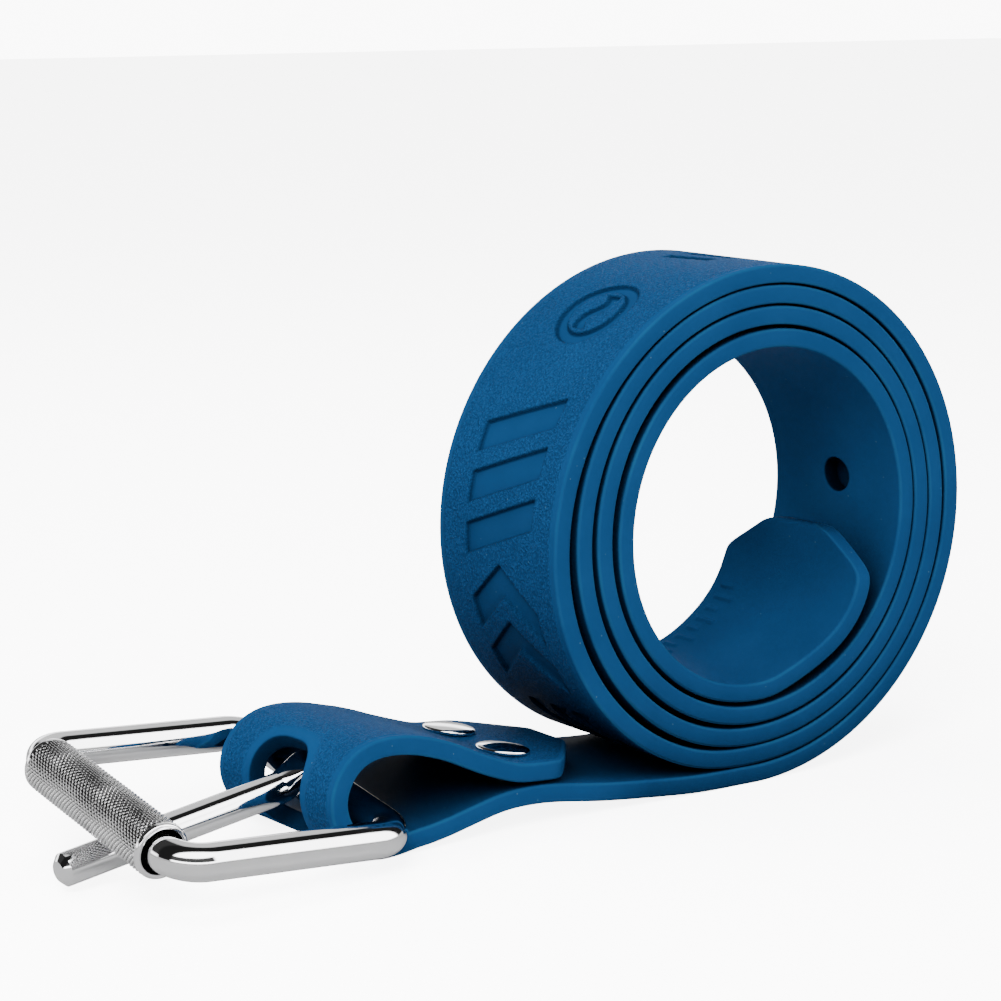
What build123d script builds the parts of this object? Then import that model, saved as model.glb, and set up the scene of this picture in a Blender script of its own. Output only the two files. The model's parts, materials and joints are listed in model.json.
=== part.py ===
"""Dive weight belt: moulded strap rolled into a coil, with a pin buckle.

Frame: +Z up, the belt stands on the floor at Z = 0.  The strap runs along X,
buckle towards -X, and is as wide as Y.  The origin is on the floor, at the
middle of the strap's width, where the coil stands on it.  Millimetres.
"""
from build123d import *
from math import cos, sin, radians, hypot, degrees
import os

os.makedirs("parts", exist_ok=True)

# --------------------------------------------------------------------- strap
strap_w = 48.0            # along Y
strap_t = 4.5
half_w = strap_w / 2
half_t = strap_t / 2

# strap centreline as (x, z): the sewn-back end, from the tab's end round the
# loop to the straight run under the coil
loop_pts = [
    (-43.5, 12.0), (-48.0, 12.18), (-52.5, 12.42), (-57.0, 12.70), (-60.0, 12.95),
    (-63.2, 13.20), (-66.2, 13.45), (-69.1, 13.95), (-71.9, 14.80), (-74.8, 15.85),
    (-77.6, 17.0), (-80.5, 18.3), (-83.3, 19.7), (-86.2, 21.1), (-89.2, 22.4),
    (-92.3, 23.5), (-95.5, 24.5), (-98.7, 25.2), (-102.1, 25.65), (-105.6, 25.7),
    (-109.3, 25.1), (-112.8, 23.4), (-115.5, 20.6), (-117.2, 17.0), (-117.5, 12.9),
    (-116.4, 9.2), (-114.2, 5.9), (-111.0, 3.4), (-107.3, 2.2), (-103.6, 2.2),
    (-100.4, 2.65), (-97.3, 3.15), (-94.1, 3.5), (-90.8, 4.0), (-87.6, 4.6),
    (-84.5, 5.3), (-81.4, 6.0), (-78.3, 6.7), (-75.3, 7.3), (-72.3, 7.7),
    (-69.3, 7.9), (-66.3, 7.9), (-63.2, 7.8), (-60.1, 7.55), (-57.1, 7.2),
    (-54.0, 6.75), (-50.9, 6.25), (-47.7, 5.75), (-44.5, 5.3), (-41.3, 4.9),
    (-38.2, 4.55), (-35.0, 4.2), (-31.9, 3.9), (-28.7, 3.55), (-25.5, 3.25),
    (-22.4, 2.95), (-19.2, 2.7), (-16.0, 2.5), (-12.8, 2.36), (-9.6, 2.27),
    (-6.4, 2.21), (-3.2, 2.18),
]

coil_cx, coil_cz = 1.2, 66.72         # coil centre, in XZ
coil_start = 270.0                    # degrees from +X: straight below the centre
coil_step = 15.0                      # degrees between radii
# centreline radius of the coil at each step, over four turns inwards
coil_r = [
    64.55, 64.67, 64.82, 64.89, 64.86, 64.63, 64.15, 63.42, 62.47, 61.36, 60.15, 58.91,
    57.74, 56.76, 56.11, 55.91, 56.19, 56.86, 57.79, 58.77, 59.62, 60.22, 60.54, 60.41,
    59.69, 59.80, 59.93, 59.99, 59.84, 59.44, 58.83, 58.06, 57.15, 56.13, 55.05, 53.93,
    52.84, 51.87, 51.16, 50.73, 50.62, 50.85, 51.37, 52.09, 52.91, 53.72, 54.42, 54.81,
    54.83, 54.92, 55.04, 55.05, 54.83, 54.41, 53.85, 53.11, 52.20, 51.15, 50.03, 48.89,
    47.80, 46.82, 46.01, 45.44, 45.15, 45.17, 45.50, 46.11, 46.90, 47.75, 48.53, 49.15,
    49.56, 49.79, 49.87, 49.83, 49.66, 49.35, 48.87, 48.17, 47.26, 46.14, 44.86, 43.51,
    42.18, 40.96, 39.95, 39.21, 38.82, 38.81, 39.22, 40.00, 41.01, 42.06, 42.96, 43.60,
    43.90,
]
# (x, z): the loose end of the coil leans in, away from the turn round it
tail_pts = [
    (7.6, 23.35), (14.6, 26.0), (20.0, 29.2), (24.8, 33.1), (28.6, 37.6),
    (31.2, 42.4), (32.8, 47.3), (33.6, 52.2), (34.0, 58.6),
]

cut_over = 2.0            # how far the corner cuts reach past the strap
tail_corner = 9.5         # how far back from the tip the tail's corners are cut
tail_tip_w = 20.0
# corner cut off the tail: (y from mid-width, z from the tip)
tail_cut = [
    (half_w + cut_over, -tail_corner),
    (half_w, -tail_corner),
    (half_w - 1.2, -tail_corner + 1.8),
    (tail_tip_w / 2, -0.8),
    (tail_tip_w / 2 - 2.0, 0),
    (tail_tip_w / 2 - 2.0, cut_over),
    (half_w + cut_over, cut_over),
]
tail_cut_x = 7.0          # the cut starts this far to -X of the tip
tail_cut_depth = 12.0

tab_corner = 13.0         # the riveted tab's end is cut back in the same way
tab_tip_w = 20.0
# corner cut off the tab: (x from the tab's end, y from mid-width)
tab_cut = [
    (-tab_corner, half_w + cut_over),
    (-tab_corner, half_w),
    (-tab_corner + 1.5, half_w - 0.9),
    (-1.2, tab_tip_w / 2),
    (0, tab_tip_w / 2 - 2.5),
    (cut_over, tab_tip_w / 2 - 2.5),
    (cut_over, half_w + cut_over),
]
tab_cut_z = 9.65          # between the tab and the strap under it
tab_cut_depth = 8.0

floor_cut_x = -50.0       # middle of the block cut away below the floor
floor_cut_l = 160.0
floor_cut_depth = 3.0

slot_w = 21.0             # slot in the loop that the tongue comes through
slot_z0, slot_z1 = 1.2, 22.4
slot_r = 7.0
slot_cut_x = -122.0
slot_cut_depth = 10.0

hole_d = 8.0              # punched adjustment holes
hole_step = 38.0          # along the strap
hole_count = 5
hole_first = 1442.6       # coil angle of the hole nearest the tail's tip
hole_over = 0.15          # the cut reaches this far past each face

rivet_x = -65.0
rivet_pitch = 22.6        # across the strap
rivet_hole_d = 7.0
rivet_cut_depth = 18.0


def coil_point(radius, angle):
    """(x, z) at a radius and an angle in radians about the coil's centre."""
    return coil_cx + radius * cos(angle), coil_cz + radius * sin(angle)


centreline = (
    loop_pts
    + [coil_point(r, radians(coil_start + coil_step * i)) for i, r in enumerate(coil_r)]
    + tail_pts
)
# indices of the centreline points where one run of the strap ends and the next starts
run_ends = [0, 10, 20, 33, 48, 64, 76, 88, 100, 112, 124, 136, 148, 158, len(centreline) - 1]


def direction(i):
    """Chord (x, z) between the neighbours of centreline point i."""
    x0, z0 = centreline[max(i - 1, 0)]
    x1, z1 = centreline[min(i + 1, len(centreline) - 1)]
    return x1 - x0, z1 - z0


def side_points(distance):
    """The centreline moved to its left, which is towards the coil's centre."""
    points = []
    for i, (x, z) in enumerate(centreline):
        dx, dz = direction(i)
        length = hypot(dx, dz)
        points.append((x - distance * dz / length, z + distance * dx / length))
    return points


def make_cutouts():
    """Everything that is cut out of the strap."""
    with BuildPart() as cutouts:
        # corners of the tail's tip
        tip_x, tip_z = tail_pts[-1]
        with BuildSketch(Plane.YZ.offset(tip_x - tail_cut_x)):
            for side in (-1, 1):
                with BuildLine():
                    Polyline(*[(side * y, tip_z + z) for y, z in tail_cut], close=True)
                make_face()
        extrude(amount=tail_cut_depth)

        # corners of the tab's end
        tab_x = loop_pts[0][0]
        with BuildSketch(Plane.XY.offset(tab_cut_z)):
            for side in (-1, 1):
                with BuildLine():
                    Polyline(*[(tab_x + x, side * y) for x, y in tab_cut], close=True)
                make_face()
        extrude(amount=tab_cut_depth)

        # the strap stands on the floor on narrow pressed flats
        with BuildSketch(Plane.XY):
            with Locations((floor_cut_x, 0)):
                Rectangle(floor_cut_l, strap_w + 4)
        extrude(amount=-floor_cut_depth)

        # slot for the tongue, through the -X end of the loop
        with BuildSketch(Plane.YZ.offset(slot_cut_x)):
            with Locations((0, (slot_z0 + slot_z1) / 2)):
                RectangleRounded(slot_w, slot_z1 - slot_z0, slot_r)
        extrude(amount=slot_cut_depth)

        # rivet holes, through the tab and the strap under it
        with BuildSketch(Plane.XY):
            with Locations((rivet_x, -rivet_pitch / 2), (rivet_x, rivet_pitch / 2)):
                Circle(rivet_hole_d / 2)
        extrude(amount=rivet_cut_depth)

        # adjustment holes, each through its own turn of the coil only
        hole_angle = hole_first
        for _ in range(hole_count):
            place = (hole_angle - coil_start) / coil_step
            i = int(place)
            radius = coil_r[i] + (coil_r[i + 1] - coil_r[i]) * (place - i)
            angle = radians(hole_angle)
            x, z = coil_point(radius - half_t - hole_over, angle)
            with BuildSketch(Plane(origin=(x, 0, z), z_dir=(cos(angle), 0, sin(angle)))):
                Circle(hole_d / 2)
            extrude(amount=strap_t + 2 * hole_over)
            hole_angle -= degrees(hole_step / radius)
    return cutouts.part


def make_strap():
    """Strap built run by run, each starting in the direction the last one ended in."""
    cutouts = make_cutouts()
    inner = side_points(half_t)
    outer = side_points(-half_t)
    with BuildPart() as strap:
        for start, end in zip(run_ends, run_ends[1:]):
            tangents = [direction(start), direction(end)]
            with BuildSketch(Plane.XZ):
                with BuildLine():
                    inner_edge = Spline(*inner[start:end + 1], tangents=tangents)
                    outer_edge = Spline(*outer[start:end + 1], tangents=tangents)
                    Line(inner_edge @ 0, outer_edge @ 0)
                    Line(inner_edge @ 1, outer_edge @ 1)
                make_face()
            extrude(amount=half_w, both=True)
        add(cutouts, mode=Mode.SUBTRACT)
    return strap.part


# -------------------------------------------------------------------- buckle
rod_d = 8.4               # frame rod
frame_w = 66.0            # between the side rods' centre lines
frame_l = 56.5            # rear bar to roller axis
bend_r = 7.0
frame_roll = radians(9.0)     # frame's lean on its rear bar, in the loose loop
frame_skew = radians(1.9)     # turn about Z
frame_tilt = radians(4.3)     # roller end up
bar_mid = Vector(-108.6, -1.1, 13.1)    # middle of the rear bar

roller_od = 12.9
roller_id = 8.9
roller_len = 51.4
roller_chamfer = 0.45

tongue_d = 7.6
tongue_y = 2.5            # eye's place along the rear bar, from the frame's middle
tongue_lift = 1.0         # rod axis above the eye's axis at the eye
tongue_tip = Vector(-67.4, -2.6, -12.9)     # rod's end, in the frame's plane axes
tongue_start = 5.0        # the rod starts this far along its axis, inside the eye
tongue_chamfer = 1.3
eye_od, eye_id, eye_w = 13.6, 8.9, 9.0
eye_bore_over = 2.0       # the bore's cut reaches this far past each end of the eye

# frame's plane: local x away from the roller, y along the rear bar
away = Vector(cos(frame_skew) * cos(frame_tilt), sin(frame_skew) * cos(frame_tilt),
              -sin(frame_tilt))
level_bar = Vector(-sin(frame_skew), cos(frame_skew), 0)
along_bar = level_bar * cos(frame_roll) + away.cross(level_bar) * sin(frame_roll)
frame_plane = Plane(origin=bar_mid, x_dir=away, z_dir=away.cross(along_bar))


def make_buckle_frame():
    """Closed rectangular ring of round rod with bent corners."""
    side_y = frame_w / 2
    with BuildPart() as frame:
        with BuildLine(frame_plane) as ring:
            Line((-frame_l / 2, -side_y), (-bend_r, -side_y))
            RadiusArc((-bend_r, -side_y), (0, -side_y + bend_r), -bend_r)
            Line((0, -side_y + bend_r), (0, side_y - bend_r))
            RadiusArc((0, side_y - bend_r), (-bend_r, side_y), -bend_r)
            Line((-bend_r, side_y), (-frame_l + bend_r, side_y))
            RadiusArc((-frame_l + bend_r, side_y), (-frame_l, side_y - bend_r), -bend_r)
            Line((-frame_l, side_y - bend_r), (-frame_l, -side_y + bend_r))
            RadiusArc((-frame_l, -side_y + bend_r), (-frame_l + bend_r, -side_y), -bend_r)
            Line((-frame_l + bend_r, -side_y), (-frame_l / 2, -side_y))
        path_start = frame_plane.from_local_coords(Vector(-frame_l / 2, -side_y, 0))
        with BuildSketch(Plane(origin=path_start, z_dir=away)):
            Circle(rod_d / 2)
        sweep(path=ring.wire())
    return frame.part


def make_roller():
    """Tube on the bar opposite the rear bar."""
    middle = frame_plane.from_local_coords(Vector(-frame_l, 0, 0))
    end = middle - along_bar * (roller_len / 2)
    with BuildPart() as roller:
        with BuildSketch(Plane(origin=end, x_dir=away, z_dir=along_bar)):
            Circle(roller_od / 2)
            Circle(roller_id / 2, mode=Mode.SUBTRACT)
        extrude(amount=roller_len)
        chamfer(roller.edges().filter_by(GeomType.CIRCLE), roller_chamfer)
    return roller.part


def make_tongue():
    """Round rod with an eye round the rear bar."""
    eye_mid = frame_plane.from_local_coords(Vector(0, tongue_y, 0))
    root = frame_plane.from_local_coords(Vector(0, tongue_y, tongue_lift))
    rod = frame_plane.from_local_coords(tongue_tip) - root
    rod_dir = rod.normalized()
    eye_x_dir = rod_dir - along_bar * rod_dir.dot(along_bar)
    rod_x_dir = (along_bar - rod_dir * along_bar.dot(rod_dir)).normalized()
    eye_end = eye_mid - along_bar * (eye_w / 2)
    bore_end = eye_mid - along_bar * (eye_w / 2 + eye_bore_over)
    rod_start = root + rod_dir * tongue_start
    with BuildPart() as tongue:
        with BuildSketch(Plane(origin=eye_end, x_dir=eye_x_dir, z_dir=along_bar)):
            Circle(eye_od / 2)
        extrude(amount=eye_w)
        with BuildSketch(Plane(origin=rod_start, x_dir=rod_x_dir, z_dir=rod_dir)):
            Circle(tongue_d / 2)
        extrude(amount=rod.length - tongue_start)
        rod_axis = Axis(tuple(root), tuple(rod_dir))
        chamfer(tongue.faces().sort_by(rod_axis)[-1].edges(), tongue_chamfer)
        with BuildSketch(Plane(origin=bore_end, x_dir=eye_x_dir, z_dir=along_bar)):
            Circle(eye_id / 2)
        extrude(amount=eye_w + 2 * eye_bore_over, mode=Mode.SUBTRACT)
    return tongue.part


# -------------------------------------------------------------------- rivets
cap_d, cap_rim, cap_dome = 13.0, 0.7, 0.9
socket_d, socket_id, socket_l = 6.0, 5.2, 2.4
cap_lift = 0.45           # the tab is a little hollow under the cap
cap_tilt = radians(8.1)   # square to the sloping tab
post_d, post_head_d, post_head_t = 4.2, 11.5, 1.0
post_head_gap = 0.45      # from the head up to the strap
post_head_chamfer = 0.5
post_root = 0.6           # the shank starts this far below the strap, inside the head

tab_top = 13.36 + half_t          # tab's upper face at the rivets
strap_bottom = 7.86 - half_t      # strap's lower face there
dome_r = ((cap_d / 2) ** 2 + cap_dome ** 2) / (2 * cap_dome)    # the dome is part of a ball
dome_mid = (dome_r ** 2 - (cap_d / 4) ** 2) ** 0.5    # above the ball's centre, halfway out


def make_rivet_cap(y):
    """Domed cap on the tab, with a socket that reaches down."""
    seat = (rivet_x, y, tab_top + cap_lift)
    cap_top = cap_rim + cap_dome
    with BuildPart() as cap:
        with BuildSketch(Plane(origin=seat, x_dir=(cos(cap_tilt), 0, -sin(cap_tilt)),
                               z_dir=(0, -1, 0))):
            with BuildLine():
                Polyline(
                    (0, cap_top),
                    (0, 0),
                    (socket_id / 2, 0),
                    (socket_id / 2, -socket_l),
                    (socket_d / 2, -socket_l),
                    (socket_d / 2, 0),
                    (cap_d / 2, 0),
                    (cap_d / 2, cap_rim),
                )
                ThreePointArc((cap_d / 2, cap_rim),
                              (cap_d / 4, cap_top - dome_r + dome_mid),
                              (0, cap_top))
            make_face()
        revolve(axis=Axis(seat, (sin(cap_tilt), 0, cos(cap_tilt))))
    return cap.part


def make_rivet_post(y):
    """Flat head under the strap, with a shank up to the tab's upper face."""
    with BuildPart() as post:
        with BuildSketch(Plane.XY.offset(strap_bottom - post_head_gap - post_head_t)):
            with Locations((rivet_x, y)):
                Circle(post_head_d / 2)
        extrude(amount=post_head_t)
        bottom_edge = post.edges().filter_by(GeomType.CIRCLE).sort_by(Axis.Z)[0]
        chamfer(bottom_edge, post_head_chamfer)
        with BuildSketch(Plane.XY.offset(strap_bottom - post_root)):
            with Locations((rivet_x, y)):
                Circle(post_d / 2)
        extrude(amount=tab_top - strap_bottom + post_root)
    return post.part


# -------------------------------------------------------------------- output
pieces = {
    "strap": make_strap(),
    "buckle_frame": make_buckle_frame(),
    "roller": make_roller(),
    "tongue": make_tongue(),
    "rivet_cap_front": make_rivet_cap(-rivet_pitch / 2),      # front is -Y
    "rivet_cap_back": make_rivet_cap(rivet_pitch / 2),
    "rivet_post_front": make_rivet_post(-rivet_pitch / 2),
    "rivet_post_back": make_rivet_post(rivet_pitch / 2),
}
for name, piece in pieces.items():
    piece.label = name
    export_step(piece, f"parts/{name}.step")
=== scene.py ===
"""Coiled rubber dive weight belt with a roller buckle, built round its CAD frame.

The strap's path lies in the XZ plane and its width runs along Y, from the front (-Y) to the
back (+Y). The coil stands on the floor at z = 0, close to the origin. The strap's end loop and
the buckle reach out towards -X. Pieces are laid out in millimetres and stored in metres; the
lights, camera and shaders use metres.
"""
import json
import math
from collections import namedtuple

import bmesh
import bpy
import numpy as np
from mathutils import Matrix, Vector


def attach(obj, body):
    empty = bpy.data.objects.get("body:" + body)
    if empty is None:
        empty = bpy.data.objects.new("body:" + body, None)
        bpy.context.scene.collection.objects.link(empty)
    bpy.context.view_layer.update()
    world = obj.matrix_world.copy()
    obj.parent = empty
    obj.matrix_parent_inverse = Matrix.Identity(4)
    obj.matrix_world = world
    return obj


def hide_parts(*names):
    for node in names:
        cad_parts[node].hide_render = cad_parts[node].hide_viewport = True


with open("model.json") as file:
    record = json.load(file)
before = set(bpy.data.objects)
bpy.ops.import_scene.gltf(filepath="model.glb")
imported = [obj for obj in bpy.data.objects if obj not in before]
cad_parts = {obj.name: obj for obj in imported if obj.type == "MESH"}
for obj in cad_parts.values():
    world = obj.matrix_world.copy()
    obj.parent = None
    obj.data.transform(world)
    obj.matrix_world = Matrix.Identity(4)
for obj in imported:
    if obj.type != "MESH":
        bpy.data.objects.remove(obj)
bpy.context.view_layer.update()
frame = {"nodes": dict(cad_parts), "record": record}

MM = 0.001

# ------------------------------------------------------------------ strap dimensions
WIDTH, THICKNESS = 48.0, 4.5
HALF_WIDTH, HALF_THICKNESS = WIDTH / 2, THICKNESS / 2
EDGE_RADIUS = 0.75          # rounding of the long edges and of the two ends
EDGE_STEPS = 5
HOLE_ROUNDING = 0.55        # rounding of every hole's rim
COLUMNS = 121               # grid points across the strap

# The coil: radii (mm) about its centre every COIL_STEP degrees, the first straight below it.
COIL_CENTRE = 1.2, 66.72
COIL_START, COIL_STEP = 270.0, 15.0
COIL_RADII = [
    64.55, 64.67, 64.82, 64.89, 64.86, 64.63, 64.15, 63.42, 62.47, 61.36, 60.15, 58.91,
    57.74, 56.76, 56.11, 55.91, 56.19, 56.86, 57.79, 58.77, 59.62, 60.22, 60.54, 60.41,
    59.69, 59.80, 59.93, 59.99, 59.84, 59.44, 58.83, 58.06, 57.15, 56.13, 55.05, 53.93,
    52.84, 51.87, 51.16, 50.73, 50.62, 50.85, 51.37, 52.09, 52.91, 53.72, 54.42, 54.81,
    54.83, 54.92, 55.04, 55.05, 54.83, 54.41, 53.85, 53.11, 52.20, 51.15, 50.03, 48.89,
    47.80, 46.82, 46.01, 45.44, 45.15, 45.17, 45.50, 46.11, 46.90, 47.75, 48.53, 49.15,
    49.56, 49.79, 49.87, 49.83, 49.66, 49.35, 48.87, 48.17, 47.26, 46.14, 44.86, 43.51,
    42.18, 40.96, 39.95, 39.21, 38.82, 38.81, 39.22, 40.00, 41.01, 42.06, 42.96, 43.60,
    43.90,
]
# (x, z) of the centre line: upper run, bend round the buckle's bar, lower run to the coil.
LOOP = [
    (-43.5, 12.0), (-48.0, 12.18), (-52.5, 12.42), (-57.0, 12.70), (-60.0, 12.95),
    (-63.2, 13.20), (-66.2, 13.45), (-69.1, 13.95), (-71.9, 14.80), (-74.8, 15.85),
    (-77.6, 17.0), (-80.5, 18.3), (-83.3, 19.7), (-86.2, 21.1), (-89.2, 22.4),
    (-92.3, 23.5), (-95.5, 24.5), (-98.7, 25.2), (-102.1, 25.65), (-105.6, 25.7),
    (-109.3, 25.1), (-112.8, 23.4), (-115.5, 20.6), (-117.2, 17.0), (-117.5, 12.9),
    (-116.4, 9.2), (-114.2, 5.9), (-111.0, 3.4), (-107.3, 2.3), (-103.6, 2.3),
    (-100.4, 2.65), (-97.3, 3.15), (-94.1, 3.5), (-90.8, 4.0), (-87.6, 4.6),
    (-84.5, 5.3), (-81.4, 6.0), (-78.3, 6.7), (-75.3, 7.3), (-72.3, 7.7),
    (-69.3, 7.9), (-66.3, 7.9), (-63.2, 7.8), (-60.1, 7.55), (-57.1, 7.2),
    (-54.0, 6.75), (-50.9, 6.25), (-47.7, 5.75), (-44.5, 5.3), (-41.3, 4.9),
    (-38.2, 4.55), (-35.0, 4.2), (-31.9, 3.9), (-28.7, 3.55), (-25.5, 3.25),
    (-22.4, 2.95), (-19.2, 2.7), (-16.0, 2.5), (-12.8, 2.38), (-9.6, 2.30),
    (-6.4, 2.26), (-3.2, 2.25),
]
# (x, z) of the centre line of the loose tail inside the coil.
TAIL = [
    (7.6, 23.35), (14.6, 26.0), (20.0, 29.2), (24.8, 33.1), (28.6, 37.6), (31.2, 42.4),
    (32.8, 47.3), (33.6, 52.2), (34.0, 58.6),
]
RIVET_X, RIVET_Y = -65.0, 11.3      # the rivets sit at +RIVET_Y and -RIVET_Y


# ------------------------------------------------------------------ geometry helpers
def smoothstep(start, end, value):
    t = np.clip((value - start) / (end - start), 0.0, 1.0)
    return t * t * (3 - 2 * t)


def unit(vectors):
    return vectors / np.linalg.norm(vectors, axis=-1, keepdims=True)


def running_length(points):
    return np.r_[0, np.cumsum(np.hypot(*np.diff(points, axis=0).T))]


def spline_path(points, step):
    """Natural cubic spline through points, resampled at even arc length.

    Returns the arc lengths, the points there and the arc length at each given point.
    """
    points = np.array(points, float)
    knots = running_length(points)
    gaps = np.diff(knots)
    count = len(points)
    system = np.zeros((count, count))
    target = np.zeros((count, 2))
    system[0, 0] = system[-1, -1] = 1
    for i in range(1, count - 1):
        system[i, i - 1:i + 2] = gaps[i - 1], 2 * (gaps[i - 1] + gaps[i]), gaps[i]
        target[i] = 6 * ((points[i + 1] - points[i]) / gaps[i]
                         - (points[i] - points[i - 1]) / gaps[i - 1])
    bends = np.linalg.solve(system, target)

    fine = np.linspace(0, knots[-1], int(knots[-1] / 0.05))
    i = np.clip(np.searchsorted(knots, fine, side="right") - 1, 0, count - 2)
    ahead = (knots[i + 1] - fine)[:, None]
    behind = (fine - knots[i])[:, None]
    gap = gaps[i][:, None]
    curve = ((bends[i] * ahead ** 3 + bends[i + 1] * behind ** 3) / (6 * gap)
             + (points[i] / gap - bends[i] * gap / 6) * ahead
             + (points[i + 1] / gap - bends[i + 1] * gap / 6) * behind)
    lengths = running_length(curve)
    even = np.linspace(0, lengths[-1], int(lengths[-1] / step))
    resampled = np.stack([np.interp(even, lengths, curve[:, k]) for k in (0, 1)], 1)
    at_knots = lengths[np.searchsorted(fine, knots).clip(0, len(lengths) - 1)]
    return even, resampled, at_knots


def mesh_object(name, points, faces, attributes=None, solid=True):
    """Object from points in mm; a solid one is shaded smooth with its normals outward."""
    mesh = bpy.data.meshes.new(name)
    mesh.from_pydata((points * MM).tolist(), [], faces)
    mesh.update()
    for key, values in (attributes or {}).items():
        layer = mesh.attributes.new(key, "FLOAT", "POINT")
        layer.data.foreach_set("value", np.asarray(values, np.float32))
    made = bpy.data.objects.new(name, mesh)
    bpy.context.scene.collection.objects.link(made)
    if solid:
        mesh.polygons.foreach_set("use_smooth", [True] * len(mesh.polygons))
        work = bmesh.new()
        work.from_mesh(mesh)
        bmesh.ops.recalc_face_normals(work, faces=work.faces)
        work.to_mesh(mesh)
        work.free()
    return made


def grid_quads(ids, turned=False, keep=None):
    """Quads between the vertices of a 2D grid of ids, all or those that keep marks."""
    corners = [ids[:-1, :-1], ids[1:, :-1], ids[1:, 1:], ids[:-1, 1:]]
    if turned:
        corners = corners[:1] + corners[:0:-1]
    quads = np.stack(corners, -1)
    return (quads.reshape(-1, 4) if keep is None else quads[keep]).tolist()


def full_turn(count):
    return np.linspace(0, 2 * math.pi, count, endpoint=False)


def ring(centre, side_offsets, side, up_offsets, up):
    return centre + np.outer(side_offsets, side) + np.outer(up_offsets, up)


def ring_object(name, rings, closed=False, attributes=None):
    """Skin over a row of equal rings; the row closes on itself or gets two flat caps."""
    ids = np.arange(len(rings) * len(rings[0])).reshape(len(rings), -1)
    wrapped = np.hstack([ids, ids[:, :1]])
    if closed:
        wrapped = np.vstack([wrapped, wrapped[:1]])
    faces = grid_quads(wrapped, turned=True)
    if not closed:
        faces += [ids[0][::-1].tolist(), ids[-1].tolist()]
    return mesh_object(name, np.vstack(rings), faces, attributes)


# ------------------------------------------------------------------ strap path
coil_angles = [math.radians(COIL_START + COIL_STEP * i) for i in range(len(COIL_RADII))]
COIL = [(COIL_CENTRE[0] + radius * math.cos(angle), COIL_CENTRE[1] + radius * math.sin(angle))
        for radius, angle in zip(COIL_RADII, coil_angles)]
PATH_LENGTHS, PATH, KNOT_LENGTHS = spline_path(LOOP + COIL + TAIL, step=0.25)
STRAP_LENGTH = PATH_LENGTHS[-1]


def smooth_tangents(path, window=25):
    """Unit tangents, averaged a little so that the shading has no ripples."""
    weights = np.hanning(window)
    weights /= weights.sum()
    raw = unit(np.gradient(path, axis=0))
    return unit(np.stack([np.convolve(np.pad(raw[:, k], window // 2, mode="edge"),
                                      weights, "valid") for k in (0, 1)], 1))


TANGENTS = smooth_tangents(PATH)


def at_coil(angle):
    """Arc length at a coil angle in degrees; the angle grows by 360 each turn."""
    step = (angle - COIL_START) / COIL_STEP
    i = int(math.floor(step))
    before, after = KNOT_LENGTHS[len(LOOP) + i:len(LOOP) + i + 2]
    return before + (after - before) * (step - i)


LOOP_PART = len(PATH) // 6          # samples searched for the loop's bend
LOWER_RUN = 1200                    # samples searched after it
BEND = np.argmin(PATH[:LOOP_PART, 0])
UPPER_RIVET = PATH_LENGTHS[np.argmin(abs(PATH[:BEND, 0] - RIVET_X))]
LOWER_RIVET = PATH_LENGTHS[BEND + np.argmin(abs(PATH[BEND:BEND + LOWER_RUN, 0] - RIVET_X))]
COIL_BEGIN = at_coil(COIL_START)
TAIL_BEGIN = at_coil(1710)

TAIL_LEAN = 0.085           # inward per mm towards the back, at the loose tail
TAIL_SHIFT = 2.2            # the loose tail's shift to the front
LOOP_SHIFT_X = 1.5          # the bend's back edge lies this much further to -X
LOOP_DROP = 1.7             # and this much lower, at LOOP_HEIGHT
LOOP_HEIGHT = 27.9


def surface(along, across, height):
    """Points of the strap, with height out from its middle surface."""
    x, z = (np.interp(along, PATH_LENGTHS, PATH[:, k]) for k in (0, 1))
    x_direction, z_direction = (np.interp(along, PATH_LENGTHS, TANGENTS[:, k]) for k in (0, 1))
    loose = smoothstep(TAIL_BEGIN + 8, STRAP_LENGTH - 12, along)
    height = height - TAIL_LEAN * across * loose
    across = across - TAIL_SHIFT * loose
    x, z = x + z_direction * height, z - x_direction * height
    skew = (across + HALF_WIDTH) / WIDTH * smoothstep(-70.0, -95.0, x)
    return np.stack([x - LOOP_SHIFT_X * skew, across, z - LOOP_DROP * skew * z / LOOP_HEIGHT],
                    -1)


# ------------------------------------------------------------------ holes
# Squareness is the superellipse power of the outline: 2 is round.
Hole = namedtuple("Hole", "along across half_length half_width squareness")


def row_of_holes(first_angle=1442.6, spacing=38.0, count=5):
    """Arc lengths of the round holes, stepping back along the inner turns."""
    lengths = []
    angle = first_angle
    for _ in range(count):
        lengths.append(at_coil(angle))
        radius = np.interp((angle - COIL_START) / COIL_STEP, range(len(COIL_RADII)), COIL_RADII)
        angle -= math.degrees(spacing / radius)
    return lengths


SLOT = Hole(PATH_LENGTHS[BEND] + 0.48, 0.0, 11.02, 10.5, 3.0)    # in the loop's bend
HOLES = [SLOT]
HOLES += [Hole(along, side * RIVET_Y, 3.0, 3.0, 2.0)
          for along in (UPPER_RIVET, LOWER_RIVET) for side in (-1, 1)]
HOLES += [Hole(along, 0.0, 4.5, 4.5, 2.0) for along in row_of_holes()]

# ------------------------------------------------------------------ strap grid
# (arc length where the zone ends, row pitch in it); finest on the outermost printed turn
PITCH_ZONES = [
    (COIL_BEGIN - 40, 0.6), (COIL_BEGIN, 0.9), (at_coil(432), 0.65), (at_coil(612), 0.36),
    (at_coil(640), 0.7), (at_coil(1340), 2.4), (at_coil(1620), 1.0), (math.inf, 0.55),
]
HOLE_PITCH = 0.5            # coarsest row pitch near a hole


def row_pitch(along):
    pitch = next(value for end, value in PITCH_ZONES if along < end)
    if any(abs(along - hole.along) < 2.3 * hole.half_length + 2 for hole in HOLES):
        pitch = min(pitch, HOLE_PITCH)
    return pitch


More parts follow.
